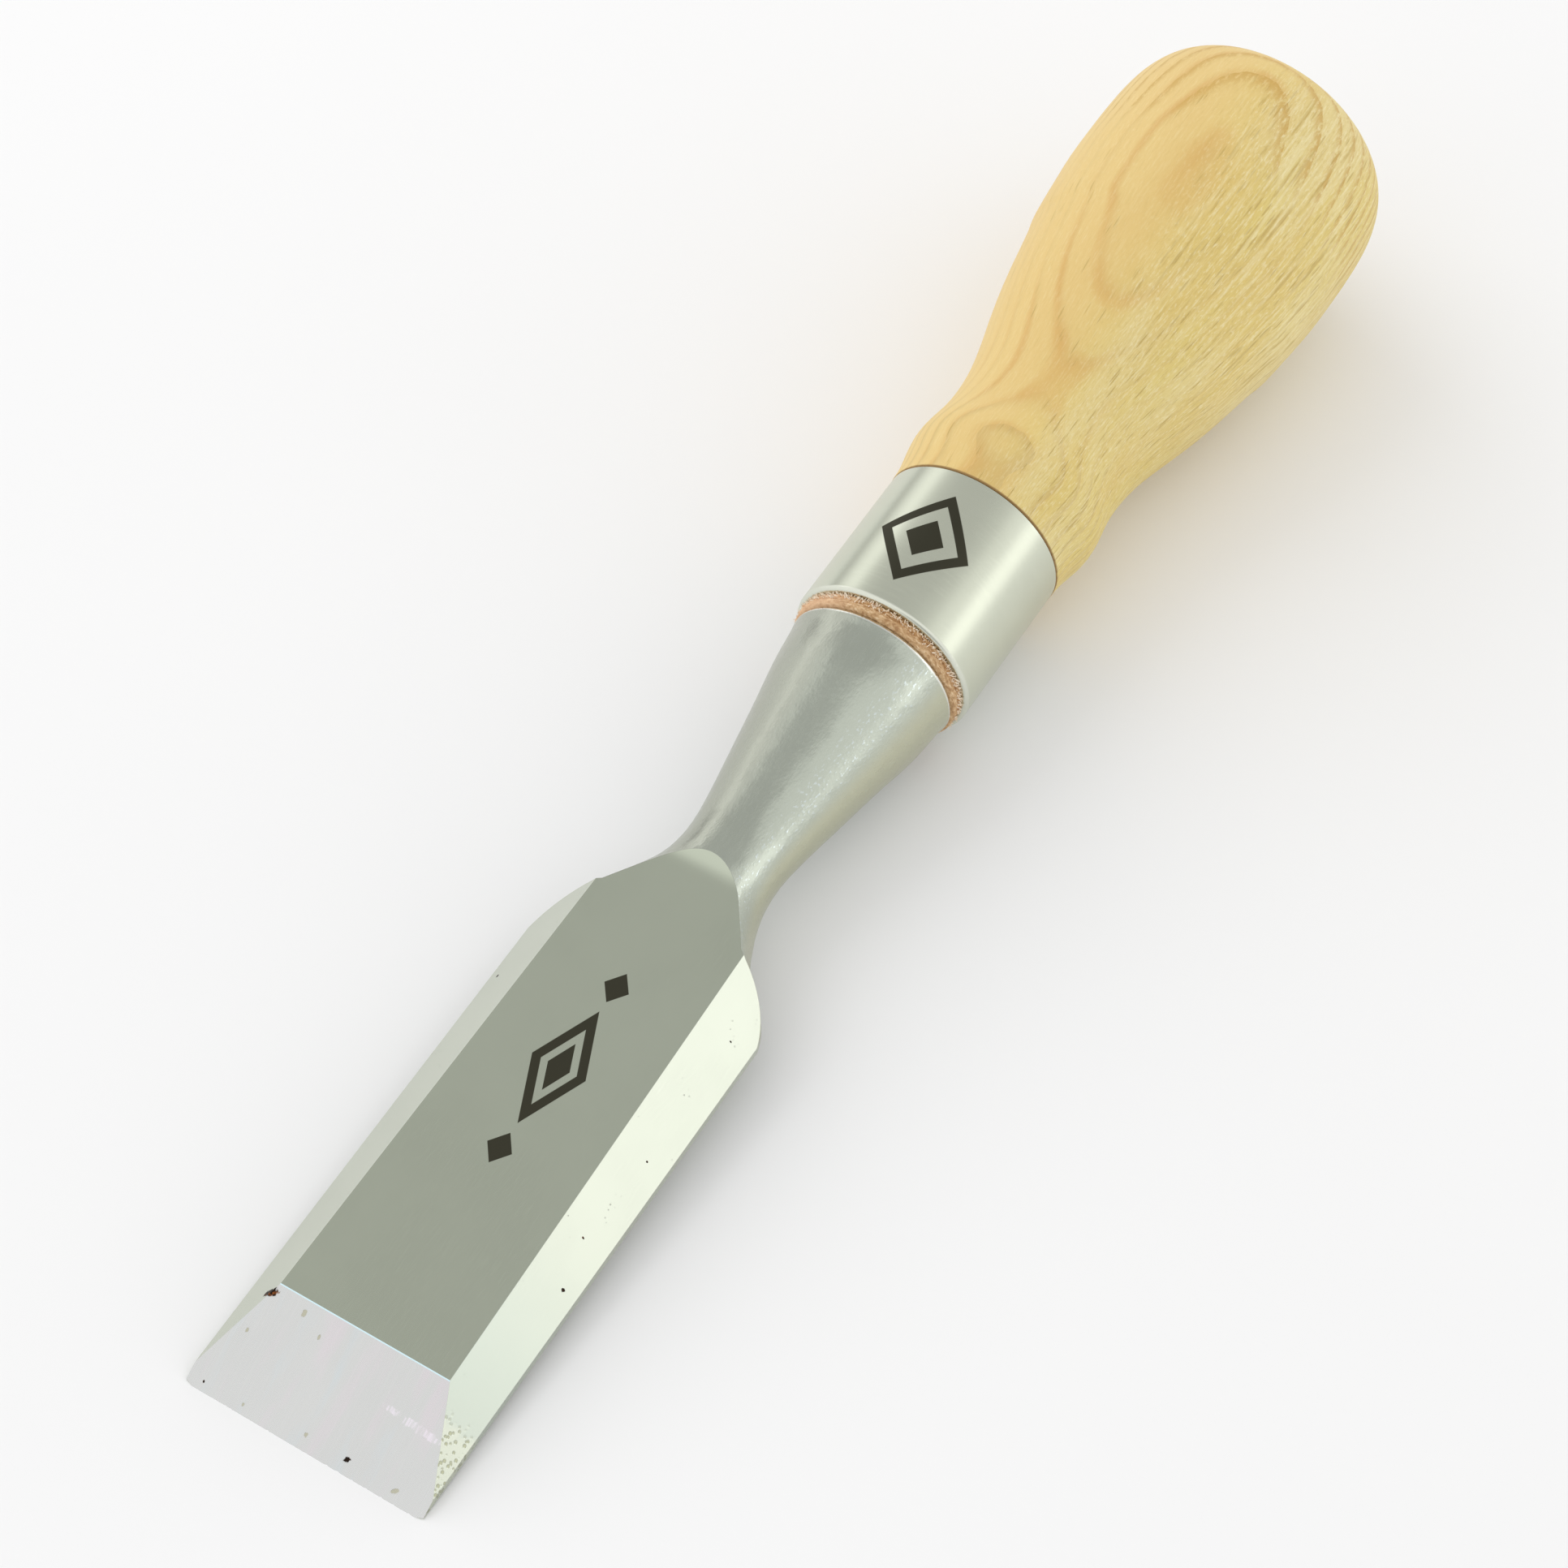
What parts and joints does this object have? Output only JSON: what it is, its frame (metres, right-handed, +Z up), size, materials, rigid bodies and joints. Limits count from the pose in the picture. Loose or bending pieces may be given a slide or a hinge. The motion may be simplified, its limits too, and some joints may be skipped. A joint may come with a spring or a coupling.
{
  "type": "bevel-edge chisel",
  "caption": "Short bevel-edged wood chisel: broad blade, round neck and bolster, leather washer, steel ferrule and bulbous turned wooden handle.",
  "frame": {"origin": "on the bench under the middle of the chisel's length, as it lies at rest on its cutting edge and the handle's bulb", "axes": "+X from the cutting edge towards the handle, +Y across the blade, +Z up out of the bench on the bevelled side; the handle's axis climbs about 5 degrees towards +X"},
  "size_m": [0.2254, 0.0396, 0.0402],
  "materials": {
    "blade_steel": "ground flats, satin polished neck",
    "washer_leather": "raw tan, fuzzy cut edge",
    "ferrule_steel": "satin turned tube",
    "handle_wood": "bare turned ash"
  },
  "bodies": {
    "root": {"blade": "blade_steel", "leather_washer": "washer_leather", "ferrule": "ferrule_steel", "handle": "handle_wood"}
  },
  "joints": []
}
